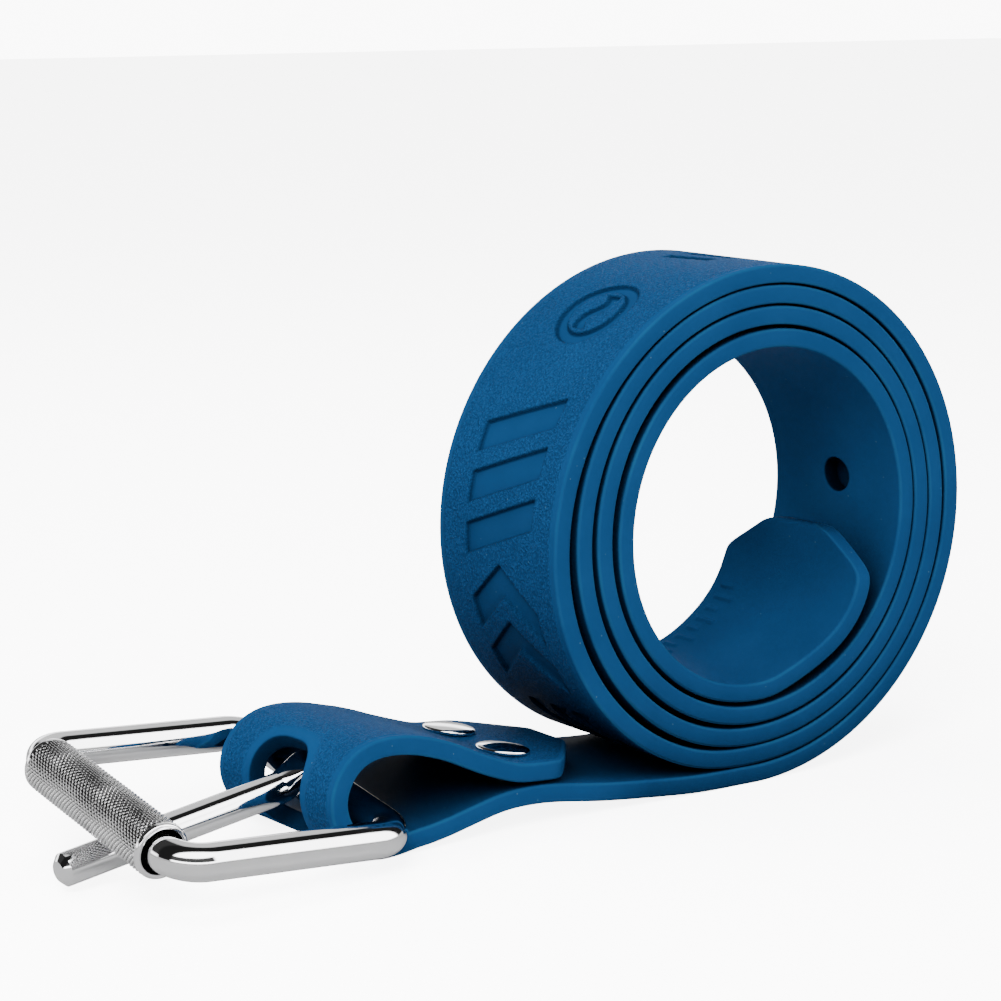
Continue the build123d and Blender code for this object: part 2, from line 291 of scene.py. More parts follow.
def row_stations():
    rows = [0.0]
    while rows[-1] < STRAP_LENGTH:
        rows.append(rows[-1] + row_pitch(rows[-1]))
    rows = np.array(rows)
    return rows * (STRAP_LENGTH / rows[-1])


ROWS = row_stations()
COLUMN_SHARES = np.linspace(-1, 1, COLUMNS)
FULL_COLUMNS = COLUMN_SHARES * (HALF_WIDTH - EDGE_RADIUS)


def point_half_width(distance, length, tip):
    """Half width of a blunt point, by distance from its end."""
    shoulder = 2.6          # softness of the corner where the point meets the full width
    reach = 2.2             # how far out the softening is made up for, in point lengths
    tip_round, tip_cut = 2.0, 3.0
    drop = HALF_WIDTH - tip
    slope = tip + drop * distance / length
    half = 0.5 * (slope + HALF_WIDTH - np.sqrt((slope - HALF_WIDTH) ** 2 + shoulder ** 2))
    half += 0.5 * (np.sqrt((drop * reach) ** 2 + shoulder ** 2) - drop * reach)
    gap = 1 - np.clip(distance / tip_round, 0, 1)
    return half - tip_cut * (1 - np.sqrt(np.clip(1 - gap * gap, 0, 1)))


def half_widths():
    """Half the strap's width at each row: full, but for the points at both ends."""
    widths = np.full_like(ROWS, HALF_WIDTH)
    for distance, length, tip in ((ROWS, 13.0, 7.6), (STRAP_LENGTH - ROWS, 9.8, 9.4)):
        pointed = np.minimum(widths, point_half_width(distance, length, tip))
        widths = np.where(distance < length * 2.5, pointed, widths)
    return widths


def half_thicknesses():
    """Half the strap's thickness at each row, easing to a rounded edge at both ends."""
    distance = np.minimum(ROWS, STRAP_LENGTH - ROWS)
    bulge = np.sqrt(np.clip(1 - (1 - distance / EDGE_RADIUS) ** 2, 0, 1))
    return HALF_THICKNESS * np.where(distance < EDGE_RADIUS, 0.55 + 0.45 * bulge, 1.0)


def hole_cells(hole):
    """First and last row, first and last column of the grid block a hole takes up."""
    def nearest(values, target):
        return np.argmin(abs(values - target))
    return (nearest(ROWS, hole.along - hole.half_length),
            nearest(ROWS, hole.along + hole.half_length),
            nearest(FULL_COLUMNS, hole.across - hole.half_width),
            nearest(FULL_COLUMNS, hole.across + hole.half_width))


def superellipse(x, y, power):
    return (abs(x) ** power + abs(y) ** power) ** (1 / power)


def face_grid(widths):
    """Positions along and across of a face's grid, pulled round the holes."""
    along = np.repeat(ROWS[:, None], COLUMNS, 1)
    across = COLUMN_SHARES[None, :] * (widths - EDGE_RADIUS)[:, None]
    for hole in HOLES:
        row_0, row_1, column_0, column_1 = hole_cells(hole)
        low, high = ROWS[row_0], ROWS[row_1]
        left, right = FULL_COLUMNS[column_0], FULL_COLUMNS[column_1]
        x = (along - (low + high) / 2) / ((high - low) / 2)
        y = (across - (left + right) / 2) / ((right - left) / 2)
        reach = np.maximum(abs(x), abs(y))
        outline = superellipse(x, y, hole.squareness) + 1e-9
        pull = 1 - smoothstep(1.0, 1.9, reach)
        round_along = hole.along + x / outline * (hole.half_length + HOLE_ROUNDING) * reach
        round_across = hole.across + y / outline * (hole.half_width + HOLE_ROUNDING) * reach
        along = along * (1 - pull) + round_along * pull
        across = across * (1 - pull) + round_across * pull
    return along, across


# ------------------------------------------------------------------ moulded figures
# Each returns a signed distance; x runs along the strap and y across it from the figure's centre.
def box(x, y, half_length, half_height):
    over_x, over_y = np.abs(x) - half_length, np.abs(y) - half_height
    outside = np.hypot(np.maximum(over_x, 0), np.maximum(over_y, 0))
    return outside + np.minimum(np.maximum(over_x, over_y), 0)


def slanted_bar(x, y, length, height, slant=0.34):
    return box(x - slant * y, y, length / 2, height / 2) / math.hypot(1, slant)


def chevron(x, y, length, height):
    return box(x - 0.75 * np.abs(y) + 0.2 * height, y, length / 2, height / 2) / 1.25


def wave(x, y, length, swing, period, thickness):
    phase = 2 * math.pi * x / period
    slope = np.hypot(1, swing * 2 * math.pi / period * np.cos(phase))
    band = np.abs(y - swing * np.sin(phase)) / slope - thickness / 2
    return np.maximum(band, np.abs(x) - length / 2)


def circle(x, y, radius, thickness):
    return np.abs(np.hypot(x, y) - radius) - thickness / 2


def pressed_figures(along, across):
    """Signed distance to the nearest figure pressed into the outward face."""
    figures = []
    for angle, wave_count in ((286.0, 0), (438.0, 3)):
        x = along - at_coil(angle)
        figures += [slanted_bar(x - (6.5 * i - 1.0), across - 3.0, length=2.6, height=15.0,
                                slant=0.12) for i in range(3)]
        figures.append(circle(x - 44.0, across + 0.5, radius=9.2, thickness=3.0))
        figures.append(wave(x - 44.0, across + 0.5, length=12.0, swing=1.7, period=13.0,
                            thickness=3.2))
        figures += [slanted_bar(x - (77.0 + 12.0 * i), across + 1.0, length=7.0, height=26.0)
                    for i in range(3)]
        figures += [chevron(x - (119.0 + 14.0 * i), across + 1.0, length=7.6, height=26.0)
                    for i in range(2)]
        figures += [wave(x - 168.0, across - (9.0 * i - 10.0), length=36.0, swing=2.4,
                         period=18.0, thickness=4.4) for i in range(wave_count)]
    return np.minimum.reduce(figures)


def scale_marks(along, across):
    """Signed distance to the nearest raised mark: a plain scale on the tail's inward face."""
    marks = []
    for i in range(10):
        length = 7.0 if i % 2 == 0 else 4.4
        marks.append(box(along - (TAIL_BEGIN - 4 + 4.0 * i), across - (20.6 - length / 2),
                         0.55, length / 2))
    return np.minimum.reduce(marks)


# ------------------------------------------------------------------ strap
FIGURE_DEPTH = 0.95
MARK_HEIGHT = 0.45
WALL_SOFTNESS = 0.22        # half the width of a figure's sloping side


class Shell:
    """Collects vertices with their attributes, and faces between them."""

    def __init__(self):
        self.points, self.faces, self.count = [], [], 0
        self.values = {"grain": [], "press": [], "wear": []}

    def add(self, points, **values):
        """Adds an array of points and returns their ids; attributes left out are 0."""
        shape = points.shape[:-1]
        for key, parts in self.values.items():
            parts.append(np.broadcast_to(values.get(key, 0.0), shape).ravel())
        self.points.append(points.reshape(-1, 3))
        ids = self.count + np.arange(math.prod(shape)).reshape(shape)
        self.count += ids.size
        return ids

    def build(self, name):
        """Makes the object without the unused points, and with none below the floor."""
        points = np.vstack(self.points)
        points[:, 2] = np.maximum(points[:, 2], 0.0)
        used = np.zeros(len(points), bool)
        for face in self.faces:
            used[face] = True
        renumber = np.cumsum(used) - 1
        faces = [renumber[face].tolist() for face in self.faces]
        attributes = {key: np.concatenate(parts)[used] for key, parts in self.values.items()}
        return mesh_object(name, points[used], faces, attributes)


def add_faces(shell, along, across, widths, thicknesses):
    """The outward and inward faces, with the holes left open; returns their vertex ids."""
    distance = pressed_figures(along, across)
    printed = ((ROWS > COIL_BEGIN) & (ROWS < at_coil(1700)))[:, None]
    inside = smoothstep(1.6, 3.0, HALF_WIDTH - np.abs(across))
    press = (1 - smoothstep(-WALL_SOFTNESS, WALL_SOFTNESS, distance)) * inside
    press = np.where(printed, press, 0)
    # painted shade: the figures' sloping sides get a darkening band along their outlines
    wall = np.where(printed, np.exp(-(distance / 0.34) ** 2), 0) * inside
    raised = 1 - smoothstep(-WALL_SOFTNESS, WALL_SOFTNESS, scale_marks(along, across))

    # grain on the outward face only, but not in the figures, along the edges or round the slot
    grain = smoothstep(1.9, 2.7, widths[:, None] - np.abs(across)) * (1 - press)
    from_slot = superellipse((along - SLOT.along) / (SLOT.half_length + 2.6),
                             (across - SLOT.across) / (SLOT.half_width + 2.6), SLOT.squareness)
    grain *= smoothstep(0.97, 1.08, from_slot)

    # the outward face's second attribute value is painted shade: slight on the figures' floors,
    # stronger on their sides
    outer = shell.add(surface(along, across, thicknesses[:, None] - FIGURE_DEPTH * press),
                      grain=grain, press=press * 0.12 + wall * 0.50)
    inner = shell.add(surface(along, across, -(thicknesses[:, None] + MARK_HEIGHT * raised)))
    keep = np.ones((len(ROWS) - 1, COLUMNS - 1), bool)
    for hole in HOLES:
        row_0, row_1, column_0, column_1 = hole_cells(hole)
        keep[row_0:row_1, column_0:column_1] = False
    shell.faces += grid_quads(outer, turned=True, keep=keep)
    shell.faces += grid_quads(inner, keep=keep)
    return outer, inner


def add_long_edge(shell, side, outer_line, inner_line, widths, thicknesses):
    """A rounded long edge from the outward face to the inward one; returns its vertex ids."""
    lines = [outer_line]
    angles = np.linspace(0, math.pi / 2, EDGE_STEPS)[1:]
    for face, face_angles in ((1, angles), (-1, angles[::-1])):
        for angle in face_angles:
            across = side * (widths - EDGE_RADIUS + EDGE_RADIUS * math.sin(angle))
            height = face * (thicknesses - EDGE_RADIUS + EDGE_RADIUS * math.cos(angle))
            # the edge value peaks halfway round the rounding: partly scuffing, partly painted
            # highlight
            lines.append(shell.add(surface(ROWS, across, height), wear=math.sin(2 * angle)))
    ids = np.stack(lines + [inner_line], 1)
    shell.faces += grid_quads(ids, turned=side > 0)
    return ids


def add_end_cap(shell, outer_row, inner_row, front_row, back_row, flip):
    """Closes one end: quads between the faces and a polygon in each long edge."""
    direction = -1 if flip else 1
    for j in range(COLUMNS - 1):
        quad = [outer_row[j], outer_row[j + 1], inner_row[j + 1], inner_row[j]]
        shell.faces.append(quad[::direction])
    shell.faces.append(back_row[::direction].tolist())
    shell.faces.append(front_row[::-direction].tolist())


def add_hole_wall(shell, hole, along, across, outer, inner):
    """The wall of a hole with rounded rims, hung between the two faces' open outlines."""
    row_0, row_1, column_0, column_1 = hole_cells(hole)
    outline = [(i, column_0) for i in range(row_0, row_1)]
    outline += [(row_1, j) for j in range(column_0, column_1)]
    outline += [(i, column_1) for i in range(row_1, row_0, -1)]
    outline += [(row_0, j) for j in range(column_1, column_0, -1)]
    rows, columns = np.array(outline).T
    x = (along[rows, columns] - hole.along) / (hole.half_length + HOLE_ROUNDING)
    y = (across[rows, columns] - hole.across) / (hole.half_width + HOLE_ROUNDING)
    rim = [(HOLE_ROUNDING * (1 - math.sin(angle)),
            HALF_THICKNESS - HOLE_ROUNDING * (1 - math.cos(angle)))
           for angle in np.linspace(0, math.pi / 2, 4)[1:]]
    profile = rim + [(0.0, 0.6), (0.0, -0.6)] + [(grow, -height) for grow, height in rim[::-1]]
    rings = [outer[rows, columns]]
    for grow, height in profile:
        points = surface(hole.along + x * (hole.half_length + grow),
                         hole.across + y * (hole.half_width + grow), np.full(len(x), height))
        # painted shade: the hole's wall is darkened strongly, its outermost rim rings lightly
        rings.append(shell.add(points, press=0.72 if grow < 0.2 else 0.2))
    ids = np.stack(rings + [inner[rows, columns]], 1)
    shell.faces += grid_quads(np.vstack([ids, ids[:1]]), turned=True)


def build_strap():
    shell = Shell()
    widths, thicknesses = half_widths(), half_thicknesses()
    along, across = face_grid(widths)
    outer, inner = add_faces(shell, along, across, widths, thicknesses)
    front, back = (add_long_edge(shell, side, outer[:, j], inner[:, j], widths, thicknesses)
                   for side, j in ((-1, 0), (1, -1)))
    for i, flip in ((0, False), (-1, True)):
        add_end_cap(shell, outer[i], inner[i], front[i], back[i], flip)
    for hole in HOLES:
        add_hole_wall(shell, hole, along, across, outer, inner)
    return shell.build("belt_strap")


strap = build_strap()

# ------------------------------------------------------------------ buckle axes
# Buckle coordinates: from the roller towards the strap, along the bar, off the frame's plane.
joints = {joint["name"]: joint for joint in frame["record"]["behaviour"]["joints"]}
ALONG_BAR = unit(np.array(joints["frame_swing"]["axis"], float))
BAR_CENTRE = np.array(joints["frame_swing"]["pos_m"]) / MM
ROLLER_CENTRE = np.array(joints["roller_spin"]["pos_m"]) / MM
to_strap = BAR_CENTRE - ROLLER_CENTRE
to_strap -= ALONG_BAR * to_strap.dot(ALONG_BAR)
FRAME_LENGTH = np.linalg.norm(to_strap)
TO_STRAP = to_strap / FRAME_LENGTH
OFF_PLANE = np.cross(TO_STRAP, ALONG_BAR)

ROD_RADIUS = 8.4 / 2
FRAME_WIDTH = 66.0
CORNER_RADIUS = 7.0


def from_buckle(local):
    """Buckle coordinates, one point a row, to the part's."""
    return BAR_CENTRE + local @ np.array([TO_STRAP, ALONG_BAR, OFF_PLANE])


# ------------------------------------------------------------------ buckle frame
def build_rod_frame():
    """The round rod bent into a rectangle: bar, two sides and the roller's axle."""
    y = FRAME_WIDTH / 2 - CORNER_RADIUS
    bar_x, axle_x = -CORNER_RADIUS, CORNER_RADIUS - FRAME_LENGTH
    corners = []
    for i, centre in enumerate(((bar_x, -y), (bar_x, y), (axle_x, y), (axle_x, -y))):
        angles = np.radians(np.linspace(90 * i - 90, 90 * i, 14))
        circle_points = np.stack([np.cos(angles), np.sin(angles)], 1)
        corners.append(np.array(centre) + CORNER_RADIUS * circle_points)
    shares = np.linspace(0, 1, 10)[1:-1, None]
    outline = []
    for corner, following in zip(corners, corners[1:] + corners[:1]):
        outline += [corner, corner[-1] + (following[0] - corner[-1]) * shares]
    outline = np.vstack(outline)
    points = from_buckle(np.column_stack([outline, np.zeros(len(outline))]))
    tangents = unit(np.roll(points, -1, 0) - np.roll(points, 1, 0))
    sides = unit(np.cross(OFF_PLANE, tangents))
    ups = np.cross(tangents, sides)
    turn = full_turn(48)
    rings = [ring(point, ROD_RADIUS * np.cos(turn), side, ROD_RADIUS * np.sin(turn), up)
             for point, side, up in zip(points, sides, ups)]
    return ring_object("buckle_rod_frame", rings, closed=True)


rod = build_rod_frame()

# ------------------------------------------------------------------ roller
ROLLER_RADIUS, BORE_RADIUS, ROLLER_LENGTH = 12.9 / 2, 8.9 / 2, 51.4
ROLLER_END = 1.2            # plain length at each end, outside the knurl
KNURL_STARTS = 31           # spiral grooves each way round the roller
KNURL_PITCH = 1.31          # along the roller
KNURL_STEPS = 6             # mesh steps per groove, both ways
KNURL_DEPTH = 0.46
KNURL_FADE = 0.5            # length over which the knurl fades at its ends
END_CHAMFER = 0.10
# (radius, distance beyond the knurl's end): over the rounded rim and into the bore
ROLLER_END_PROFILE = [
    (ROLLER_RADIUS - END_CHAMFER, 0.20), (ROLLER_RADIUS - 0.12, 0.70),
    (ROLLER_RADIUS - 0.24, 0.98), (ROLLER_RADIUS - 0.45, 1.15),
    (ROLLER_RADIUS - 0.60, ROLLER_END), (5.35, ROLLER_END), (5.2, 1.1), (5.12, 0.8),
    (5.1, -0.9), (BORE_RADIUS, -2.6),
]


def build_roller():
    """Diamond-knurled tube; its crest attribute is 1 on the crests and 0 in the grooves."""
    turn = full_turn(KNURL_STARTS * KNURL_STEPS)
    knurl_half = ROLLER_LENGTH / 2 - ROLLER_END
    steps = int(round(2 * knurl_half / KNURL_PITCH)) * KNURL_STEPS
    stations = np.linspace(-knurl_half, knurl_half, steps + 1)
    z, angle = np.meshgrid(stations, turn, indexing="ij")
    round_count = angle / (2 * math.pi) * KNURL_STARTS
    length_count = (z + knurl_half) / KNURL_PITCH
    right_hand = (round_count + length_count) % 1.0
    left_hand = (round_count - length_count) % 1.0
    crest = np.minimum(1 - np.abs(2 * right_hand - 1), 1 - np.abs(2 * left_hand - 1))
    crest = np.clip(crest * 1.5, 0, 1)
    fade = smoothstep(0, KNURL_FADE, z + knurl_half) * smoothstep(0, KNURL_FADE, knurl_half - z)
    knurl = ROLLER_RADIUS - KNURL_DEPTH * (1 - crest) * fade - END_CHAMFER * (1 - fade)

    profile = [(radius, -knurl_half - beyond) for radius, beyond in ROLLER_END_PROFILE[::-1]]
    profile += list(zip(knurl, stations))
    profile += [(radius, knurl_half + beyond) for radius, beyond in ROLLER_END_PROFILE]
    profile += [(BORE_RADIUS, z) for z in np.linspace(knurl_half - 3.5, 3.5 - knurl_half, 12)]
    rings = [ring(ROLLER_CENTRE + ALONG_BAR * z, radius * np.cos(turn), TO_STRAP,
                  radius * np.sin(turn), OFF_PLANE) for radius, z in profile]
    crests = np.ones((len(rings), len(turn)))
    first = len(ROLLER_END_PROFILE)
    crests[first:first + len(stations)] = crest * fade + (1 - fade)
    return ring_object("grip_roller", rings, closed=True, attributes={"crest": crests.ravel()})


roller = build_roller()

# ------------------------------------------------------------------ tongue
TONGUE_RADIUS = 7.6 / 2
TONGUE_ROOT = np.array([0.0, 2.5, 1.0])     # ends of the pin's axis, in buckle coordinates
TONGUE_TIP = np.array([-67.4, -2.6, -12.9])
STRIP_HALF_WIDTH = 4.5                      # the flattened strip curled round the bar
STRIP_HALF_THICKNESS = 0.98
CURL_RADIUS = ROD_RADIUS + 0.27 + STRIP_HALF_THICKNESS
CURL_ANGLES = -112.0, 106.0                 # 0 points towards the strap
NECK_END = 11.0                             # distance from the root where the round pin begins
NECK_PULL = 0.9                             # strength of the neck curve's end tangents
TIP_CHAMFER = 1.35
# (distance from the chamfer's start, how much the radius has shrunk)
TIP_PROFILE = [(0.06, 0.04), (1.24, 1.28), (TIP_CHAMFER, 1.42)]


def tongue_stations():
    """(point in buckle coordinates, half width, half thickness) from the curl to the tip."""
    stations = []
    for angle in np.radians(np.linspace(*CURL_ANGLES, 60)):
        point = np.array([CURL_RADIUS * math.cos(angle), TONGUE_ROOT[1],
                          CURL_RADIUS * math.sin(angle)])
        stations.append((point, STRIP_HALF_WIDTH, STRIP_HALF_THICKNESS))

    # neck: a Hermite curve from the curl's end down to the pin's axis
    pin = TONGUE_TIP - TONGUE_ROOT
    pin_length = np.linalg.norm(pin)
    pin /= pin_length
    start, end = stations[-1][0], TONGUE_ROOT + pin * NECK_END
    last = math.radians(CURL_ANGLES[1])
    start_tangent = np.array([-math.sin(last), 0, math.cos(last)])
    pull = np.linalg.norm(end - start) * NECK_PULL
    for t in np.linspace(0, 1, 26)[1:]:
        point = ((2 * t ** 3 - 3 * t ** 2 + 1) * start
                 + (t ** 3 - 2 * t ** 2 + t) * pull * start_tangent
                 + (-2 * t ** 3 + 3 * t ** 2) * end
                 + (t ** 3 - t ** 2) * pull * pin)
        share = float(smoothstep(0.05, 0.95, t))
        stations.append((point, STRIP_HALF_WIDTH * (1 - share) + TONGUE_RADIUS * share,
                         STRIP_HALF_THICKNESS * (1 - share) + TONGUE_RADIUS * share))

    chamfer = pin_length - TIP_CHAMFER
    for distance in np.linspace(NECK_END, chamfer, 44)[1:]:
        stations.append((TONGUE_ROOT + pin * distance, TONGUE_RADIUS, TONGUE_RADIUS))
    for distance, shrink in TIP_PROFILE:
        radius = TONGUE_RADIUS - shrink
        stations.append((TONGUE_ROOT + pin * (chamfer + distance), radius, radius))
    return stations


def build_tongue():
    path, half_wide, half_thick = map(np.array, zip(*tongue_stations()))
    points = from_buckle(path)
    tangents = unit(np.gradient(points, axis=0))
    sides = unit(ALONG_BAR - tangents * (tangents @ ALONG_BAR)[:, None])
    ups = np.cross(tangents, sides)
    # superellipse sections: squarish where the strip is flat, round along the pin
    powers = 2.0 + 3.0 * np.clip((half_wide - half_thick) / 3.1, 0, 1)
    turn = full_turn(48)
    cosine, sine = np.cos(turn), np.sin(turn)
    rings = []
    for i, power in enumerate(powers):
        scale = 1 / superellipse(cosine, sine, power)
        if i == 0:
            scale = scale * 0.72        # the strip's free end is drawn in
        rings.append(ring(points[i], half_wide[i] * cosine * scale, sides[i],
                          half_thick[i] * sine * scale, ups[i]))
    made = ring_object("pin_tongue", rings)
    made.data.set_sharp_from_angle(angle=math.radians(24))
    return made


tongue = build_tongue()

# ------------------------------------------------------------------ rivet caps
RIVET_TILT = math.radians(8.1)
RIVET_Z = 13.36 + HALF_THICKNESS + 0.45
# (radius, height): stem, underside, rim and dome
RIVET_PROFILE = [
    (0.4, -2.0), (2.0, -2.0), (2.0, -0.10), (5.9, -0.22), (6.3, -0.14), (6.46, 0.18),
    (6.5, 0.42), (6.42, 0.66), (6.2, 0.88), (5.8, 1.04), (5.2, 1.17), (4.4, 1.29),
    (3.4, 1.41), (2.3, 1.50), (1.2, 1.55), (0.3, 1.57),
]


def build_rivet_cap(name, y):
    axis = np.array([math.sin(RIVET_TILT), 0.0, math.cos(RIVET_TILT)])
    side = np.cross(axis, [0, 1, 0])
    up = np.cross(axis, side)
    turn = full_turn(72)
    rings = [ring(np.array([RIVET_X, y, RIVET_Z]) + axis * height, radius * np.cos(turn), side,
                  radius * np.sin(turn), up) for radius, height in RIVET_PROFILE]
    return ring_object(name, rings)


def describe(piece, part, cad_name):
    """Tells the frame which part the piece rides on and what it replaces."""
    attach(piece, part)
    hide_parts(cad_name)


caps = []
for place, side in (("front", -1), ("back", 1)):
    caps.append(build_rivet_cap("rivet_dome_" + place, side * RIVET_Y))
    describe(caps[-1], "strap", "rivet_cap_" + place)


# ------------------------------------------------------------------ node helpers
class Nodes:
    """Short calls for one node tree; an input takes a value or another node's output."""

    def __init__(self, owner):
        owner.use_nodes = True
        self.tree = owner.node_tree

    def feed(self, target, inputs):
        for key, value in inputs.items():
            if isinstance(value, bpy.types.NodeSocket):
                self.tree.links.new(value, target.inputs[key])
            else:
                target.inputs[key].default_value = value

    def add(self, kind, inputs=None, **properties):
        made = self.tree.nodes.new("ShaderNode" + kind)
        for key, value in properties.items():
            setattr(made, key, value)
        self.feed(made, inputs or {})
        return made

    def math(self, operation, *values):
        return self.add("Math", dict(enumerate(values)), operation=operation).outputs[0]

    def attribute(self, name):
        return self.add("Attribute", attribute_name=name).outputs["Fac"]

    def noise(self, vector, scale, detail, roughness=0.5, output="Fac"):
        return self.add("TexNoise", {"Vector": vector, "Scale": scale, "Detail": detail,
                                     "Roughness": roughness}).outputs[output]

    def remap(self, value, start, end, low=0.0, high=1.0, **properties):
        """Maps start..end to low..high."""
        inputs = {"Value": value, "From Min": start, "From Max": end,
                  "To Min": low, "To Max": high}
        return self.add("MapRange", inputs, **properties).outputs["Result"]

    def mix(self, factor, first, second):
        made = self.add("Mix", {0: factor, 2: first, 3: second}, data_type="FLOAT")
        return made.outputs[0]

    def mix_colour(self, factor, first, second):
        made = self.add("Mix", {0: factor, 6: first, 7: second}, data_type="RGBA")
        return made.outputs[2]

    def scale(self, vector, factor):
        made = self.add("VectorMath", operation="SCALE")
        self.feed(made, {0: vector, "Scale": factor})
        return made.outputs[0]

    def ramp(self, factor, *stops):
        """Two-stop colour ramp; each stop is (position, red, green, blue)."""
        made = self.add("ValToRGB", {"Fac": factor})
        for element, (position, *colour) in zip(made.color_ramp.elements, stops):
            element.position = position
            element.color = (*colour, 1)
        return made.outputs["Color"]

    def separate(self, vector):
        return self.add("SeparateXYZ", {0: vector}).outputs


def grey(level):
    return (level, level, level, 1)


# ------------------------------------------------------------------ rubber
def rubber_pebbles(nodes, position):
    """Height of the leather-like grain: small rounded cells broken up by noise."""
    warp = nodes.noise(position, scale=900.0, detail=2.0, output="Color")
    warp_amount = (0.0009, 0.0009, 0.0009)
    warped = nodes.add("VectorMath", {0: warp, 1: warp_amount, 2: position},
                       operation="MULTIPLY_ADD").outputs[0]
    cells = nodes.add("TexVoronoi", feature="SMOOTH_F1")
    nodes.feed(cells, {"Vector": warped, "Scale": 1800.0, "Smoothness": 0.22})
    domes = nodes.math("SUBTRACT", 0.85, cells.outputs["Distance"])
    pits = nodes.noise(position, scale=1550.0, detail=2.0, roughness=0.6)
    return nodes.math("MULTIPLY_ADD", pits, 1.1, domes)


def painted_occlusion_shade(nodes, position):
    """Painted shade: a brightness factor on the colour, from ambient occlusion, that darkens the
    rubber in the coil, between turns and in the loop.
    """
    own, with_floor = (nodes.add("AmbientOcclusion", {"Distance": 0.075}, samples=4,
                                 only_local=local).outputs["AO"] for local in (True, False))
    # the floor and other pieces count only on the coil's front edge
    normal = nodes.separate(nodes.add("NewGeometry").outputs["Normal"])
    faces_front = nodes.remap(normal["Y"], -0.5, -0.9)
    on_coil = nodes.remap(nodes.separate(position)["X"], -0.060, -0.030)
    open_share = nodes.mix(nodes.math("MULTIPLY", faces_front, on_coil), own, with_floor)
    return nodes.remap(open_share, 0.28, 0.78, low=0.18, high=1.0)


def make_rubber():
    """Petrol blue rubber, driven by the strap's attributes for grain, for the pressed figures
    with painted shade, and for worn edges with painted highlight.
    """
    material = bpy.data.materials.new("blue_rubber")
    nodes = Nodes(material)
    position = nodes.add("TexCoord").outputs["Object"]
    grain = nodes.attribute("grain")
    pebbles = rubber_pebbles(nodes, position)

    # relief: pebbles where there is grain, and a faint fine texture everywhere
    fine = nodes.noise(position, scale=4200.0, detail=3.0)
    height = nodes.math("MULTIPLY_ADD", fine, 0.06, nodes.math("MULTIPLY", pebbles, grain))
    bump = nodes.add("Bump", {"Strength": 1.0, "Distance": 0.00034, "Height": height})

    # slight blotches, with painted highlight on the grain's crests and painted shade in its
    # valleys
    blotches = nodes.noise(position, scale=45.0, detail=5.0)
    blue = nodes.ramp(blotches, (0.3, 0.0125, 0.078, 0.226), (0.75, 0.0155, 0.092, 0.262))
    pebble_shade_and_highlight = nodes.remap(pebbles, 0.75, 1.45, low=0.80, high=1.42)
    tone = nodes.mix(grain, 1.0, pebble_shade_and_highlight)
    # painted shade: the pressed figures and the hole walls are darker
    unshaded = nodes.math("MULTIPLY_ADD", nodes.attribute("press"), -1.0, 1.0)
    colour = nodes.scale(blue, nodes.math("MULTIPLY", tone, unshaded))

    # worn edges: partly scuffs, partly painted highlight, broken up along their length
    wear_and_highlight_breakup = nodes.remap(blotches, 0.35, 0.70, low=0.10, high=0.60)
    wear = nodes.math("MULTIPLY", nodes.attribute("wear"), wear_and_highlight_breakup)
    colour = nodes.mix_colour(wear, colour, (0.026, 0.150, 0.310, 1))

    # a few specks of pale dust
    dust = nodes.add("TexVoronoi", {"Vector": position, "Scale": 230.0})
    specks = nodes.remap(dust.outputs["Distance"], 0.055, 0.030)
    colour = nodes.mix_colour(specks, colour, (0.07, 0.17, 0.29, 1))

    nodes.feed(nodes.tree.nodes["Principled BSDF"], {
        "Base Color": nodes.scale(colour, painted_occlusion_shade(nodes, position)),
        "Roughness": nodes.remap(blotches, 0.0, 1.0, low=0.42, high=0.60),
        "Specular IOR Level": 0.005,
        "Normal": bump.outputs["Normal"],
    })
    return material


# ------------------------------------------------------------------ chrome
def make_chrome(name, roughness, tone=0.76, scratch=0.35, knurled=False):
    """Polished metal; scratch is the strength of its fine relief."""
    material = bpy.data.materials.new(name)
    nodes = Nodes(material)
    position = nodes.add("TexCoord").outputs["Object"]
    smears = nodes.noise(position, scale=190.0, detail=5.0)
    colour = nodes.ramp(smears, (0.3, tone * 0.97, tone * 0.97, tone * 0.985),
                        (0.7, tone, tone, tone * 1.005))
    if knurled:
        # painted shade: dark grooves between the knurl's crests
        crest = nodes.remap(nodes.attribute("crest"), 0.15, 0.72, low=0.10, high=1.0)
        colour = nodes.scale(colour, crest)
    relief = nodes.noise(position, scale=420.0, detail=4.0)
    bump = nodes.add("Bump", {"Strength": scratch, "Distance": 0.00002, "Height": relief})
    nodes.feed(nodes.tree.nodes["Principled BSDF"], {
        "Base Color": colour,
        "Metallic": 1.0,
        "Roughness": nodes.remap(smears, 0.35, 0.75, low=roughness, high=roughness + 0.07),
        "Normal": bump.outputs["Normal"],
    })
    return material


rubber = make_rubber()
frame_chrome = make_chrome("frame_chrome_mat", roughness=0.04)
roller_chrome = make_chrome("roller_chrome_mat", roughness=0.10, tone=0.78, scratch=0.2,
                            knurled=True)
tongue_chrome = make_chrome("tongue_chrome_mat", roughness=0.05)
rivet_chrome = make_chrome("rivet_chrome_mat", roughness=0.04)


def dress(piece, material):
    piece.data.materials.clear()
    piece.data.materials.append(material)


rivet_posts = [frame["nodes"]["rivet_post_" + place] for place in ("front", "back")]
for piece in caps + rivet_posts:
    dress(piece, rivet_chrome)
for piece, material, part, cad_name, slot in (
        (strap, rubber, "strap", "strap", "strap_rubber"),
        (rod, frame_chrome, "frame", "buckle_frame", "frame_chrome"),
        (roller, roller_chrome, "roller", "roller", "roller_chrome"),
        (tongue, tongue_chrome, "tongue", "tongue", "tongue_chrome")):
    dress(piece, material)
    describe(piece, part, cad_name)


